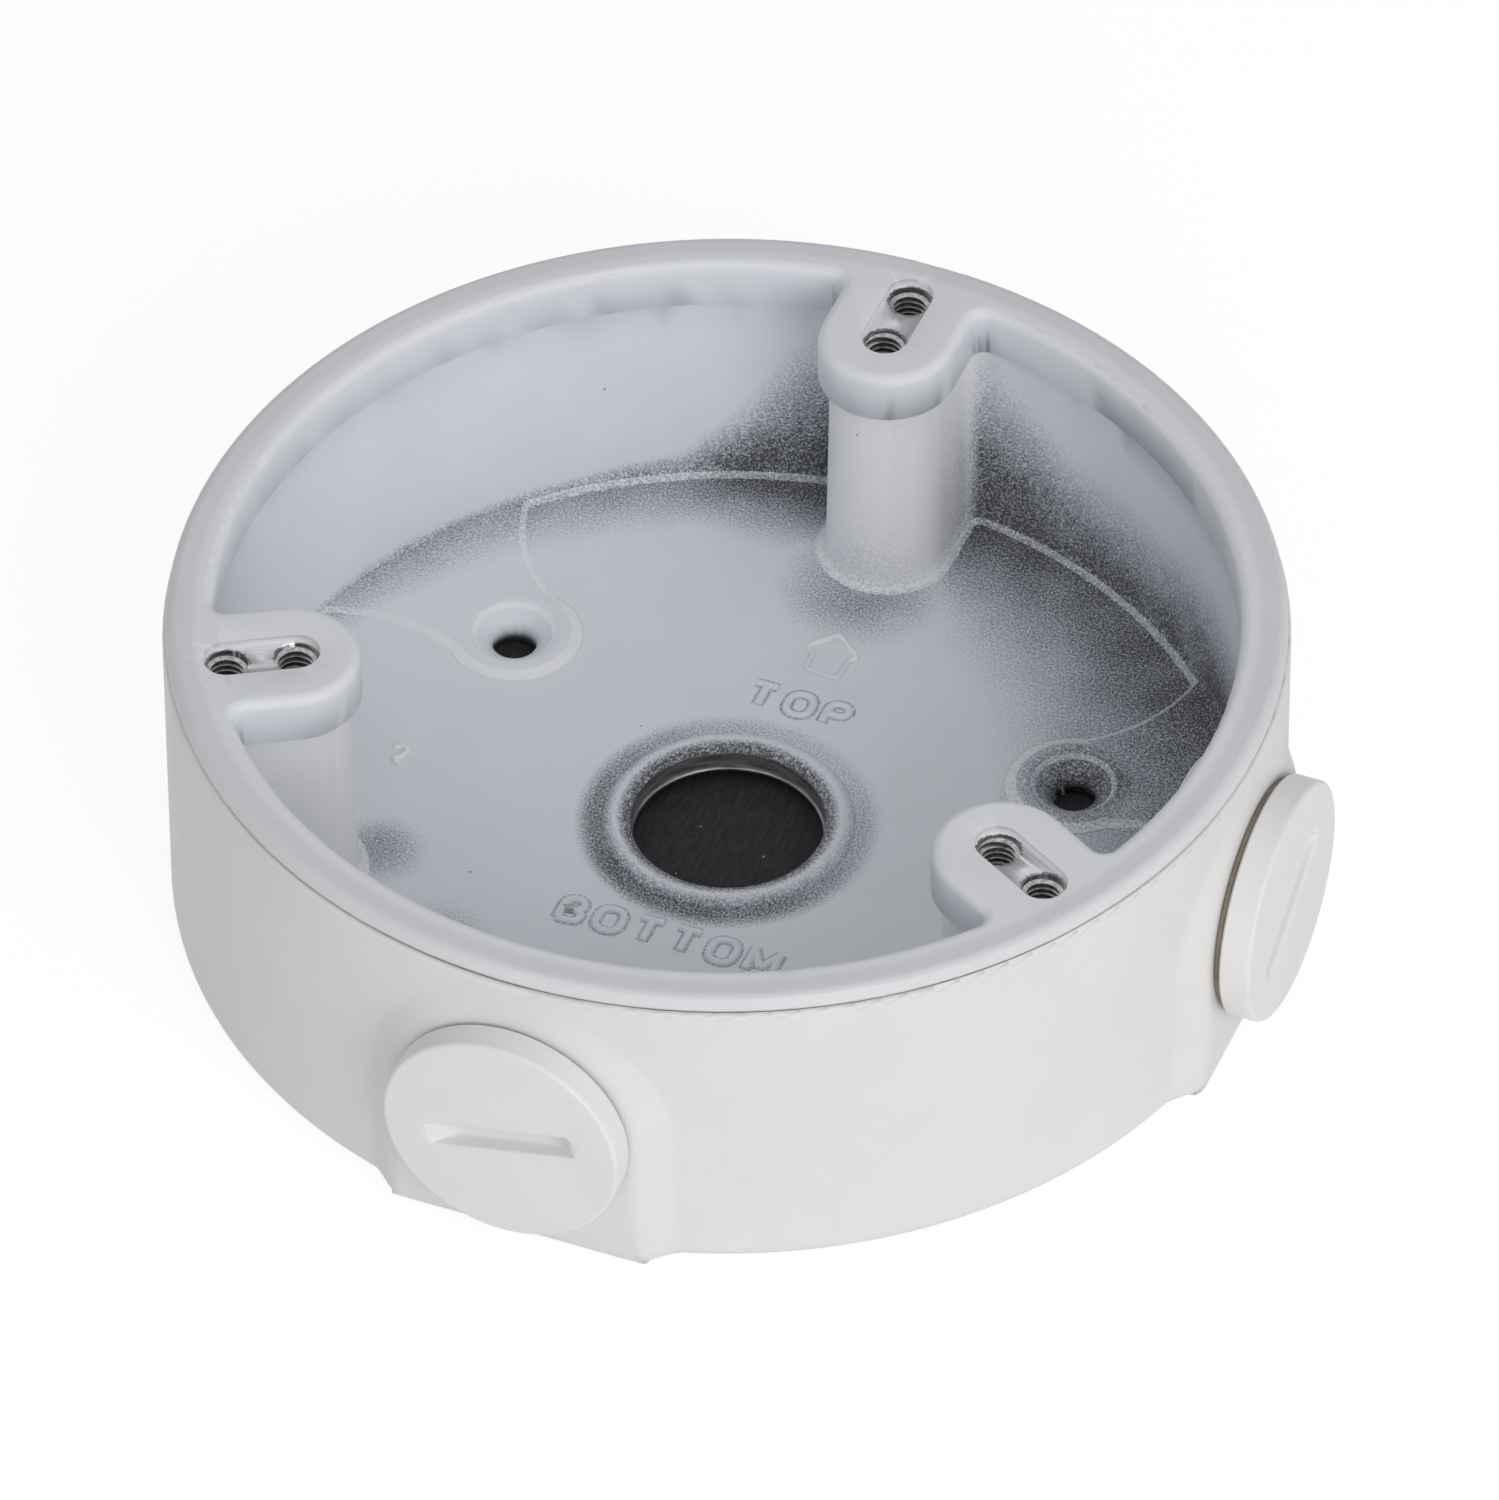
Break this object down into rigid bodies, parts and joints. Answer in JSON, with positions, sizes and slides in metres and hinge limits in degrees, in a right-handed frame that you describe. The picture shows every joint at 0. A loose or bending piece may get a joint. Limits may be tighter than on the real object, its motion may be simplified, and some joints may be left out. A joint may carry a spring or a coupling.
{
  "type": "camera junction box",
  "caption": "Round die-cast junction box for a surveillance camera, with screw posts round an open mouth, a cable inlet in the floor and screw plugs in its side entries.",
  "frame": {"origin": "centre of the round wall on the flat back of the box", "axes": "+Z from the wall side to the open mouth, -Y to the front side entry, +X to the right side entry"},
  "size_m": [0.1141, 0.1137, 0.0348],
  "materials": {
    "housing_white_powder_coat": "fine-grained powder coat on die-cast aluminium",
    "foam_black_rubber": "matt closed-cell foam",
    "plug_white_plastic": "smooth matt moulding",
    "seal_grey_rubber": "matt"
  },
  "bodies": {
    "box": {"housing": "housing_white_powder_coat", "foam_pad": "foam_black_rubber"},
    "front_seal_ring": {"front_seal": "seal_grey_rubber"},
    "front_screw_plug": {"front_plug": "plug_white_plastic"},
    "side_seal_ring": {"side_seal": "seal_grey_rubber"},
    "side_screw_plug": {"side_plug": "plug_white_plastic"}
  },
  "joints": [
    {"name": "front_plug_travel", "type": "slide", "parent": "box", "child": "front_seal_ring", "axis": [0, -1, 0], "range_m": [0, 0.00725]},
    {"name": "front_plug_turn", "type": "hinge", "parent": "front_seal_ring", "child": "front_screw_plug", "pos_m": [0, -0.05525, 0.016], "axis": [0, -1, 0], "range_deg": [0, 1440]},
    {"name": "side_plug_travel", "type": "slide", "parent": "box", "child": "side_seal_ring", "axis": [1, 0, 0], "range_m": [0, 0.00725]},
    {"name": "side_plug_turn", "type": "hinge", "parent": "side_seal_ring", "child": "side_screw_plug", "pos_m": [0.05525, 0, 0.016], "axis": [1, 0, 0], "range_deg": [0, 1440]}
  ],
  "couplings": [
    {"joint": "front_plug_turn", "follows": "front_plug_travel", "rad_per_m": 3463.7},
    {"joint": "side_plug_turn", "follows": "side_plug_travel", "rad_per_m": 3463.7}
  ]
}
